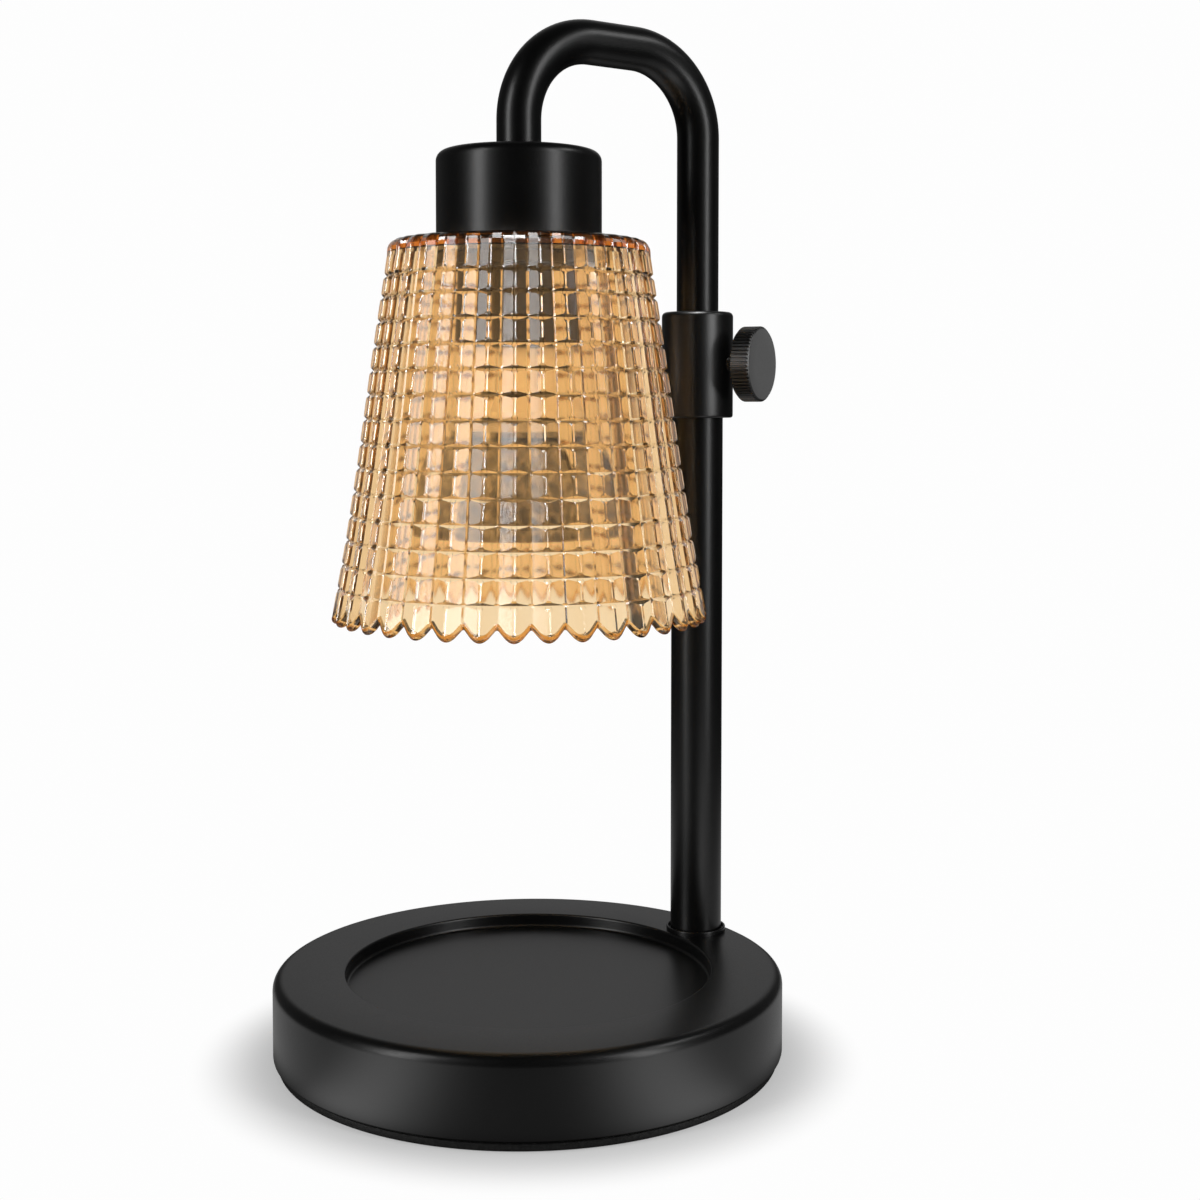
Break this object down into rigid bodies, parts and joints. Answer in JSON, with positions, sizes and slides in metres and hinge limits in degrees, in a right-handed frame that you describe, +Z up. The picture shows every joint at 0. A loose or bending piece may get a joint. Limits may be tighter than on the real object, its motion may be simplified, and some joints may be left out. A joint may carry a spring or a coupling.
{
  "type": "candle warmer lamp",
  "caption": "Candle warmer table lamp: round base with a sunk tray, height-adjustable swivelling hook arm and a ribbed amber glass shade over a spotlight bulb.",
  "frame": {"origin": "centre of the foot pad's underside, on the surface the lamp stands on", "axes": "+Z up, +Y from the base's centre towards the pole at the back, +X to the right seen from the front"},
  "size_m": [0.15, 0.1585, 0.3055],
  "materials": {
    "black_coat": "satin black powder coat, very fine grain",
    "black_knob": "satin black, straight-knurled rim",
    "black_rubber": "matt, grainy",
    "zinc_steel": "zinc plated",
    "iron": "rough cast",
    "brass": "plain",
    "lead_sheath": "smooth sheath",
    "pale_plastic": "moulded",
    "dark_plastic": "moulded, heat-proof",
    "amber_glass": "pressed, ribbed and grooved, amber",
    "clear_glass": "clear",
    "silvered_glass": "facetted, silvered inside",
    "chrome": "bright",
    "white_ceramic": "unglazed, smooth"
  },
  "bodies": {
    "stand": {"base_shell": "black_coat", "bottom_cover": "zinc_steel", "cover_screws": "zinc_steel", "weight_screws": "zinc_steel", "foot_pad": "black_rubber", "base_weight": "iron", "cord_grommet": "black_rubber", "terminal_block": "pale_plastic", "terminal_screws": "brass", "base_lead": "lead_sheath", "pole": "black_coat", "pole_foot_ring": "black_coat", "pole_plug": "zinc_steel", "pole_nipple": "zinc_steel", "pole_washer": "zinc_steel", "pole_nut": "zinc_steel", "riser_lead": "lead_sheath", "collar": "black_coat"},
    "clamp": {"clamp_pad": "brass"},
    "thumb_screw": {"knob_stud": "black_knob", "knob": "black_knob"},
    "slider": {"guide_bush": "pale_plastic"},
    "arm": {"hook_tube": "black_coat", "arm_lead": "lead_sheath", "bush_clips": "zinc_steel", "head_cap": "black_coat", "arm_plug": "zinc_steel", "head_nipple": "zinc_steel", "head_washer": "zinc_steel", "head_nuts": "zinc_steel", "holder_bracket": "zinc_steel", "holder_screws": "zinc_steel", "lamp_holder": "dark_plastic", "holder_contacts": "brass", "shade_glass": "amber_glass", "shade_ring": "dark_plastic", "bulb_base": "white_ceramic", "bulb_pins": "brass", "bulb_collar": "chrome", "bulb_reflector": "silvered_glass", "bulb_lens": "clear_glass", "bulb_capsule": "clear_glass"}
  },
  "joints": [
    {"name": "height_slide", "type": "slide", "parent": "stand", "child": "slider", "axis": [0, 0, 1], "range_m": [-0.045, 0.05], "deforming": ["riser_lead"]},
    {"name": "arm_swivel", "type": "hinge", "parent": "slider", "child": "arm", "pos_m": [0, 0.0636, 0.2043], "axis": [0, 0, 1], "range_deg": [-90, 40]},
    {"name": "clamp_slide", "type": "slide", "parent": "stand", "child": "clamp", "axis": [0.8949, 0.4462, 0], "range_m": [0, 0.0016]},
    {"name": "knob_turn", "type": "hinge", "parent": "clamp", "child": "thumb_screw", "pos_m": [0.01933, 0.07324, 0.2043], "axis": [0.8949, 0.4462, 0], "range_deg": [0, 720]}
  ],
  "couplings": [
    {"joint": "knob_turn", "follows": "clamp_slide", "rad_per_m": 7854}
  ]
}
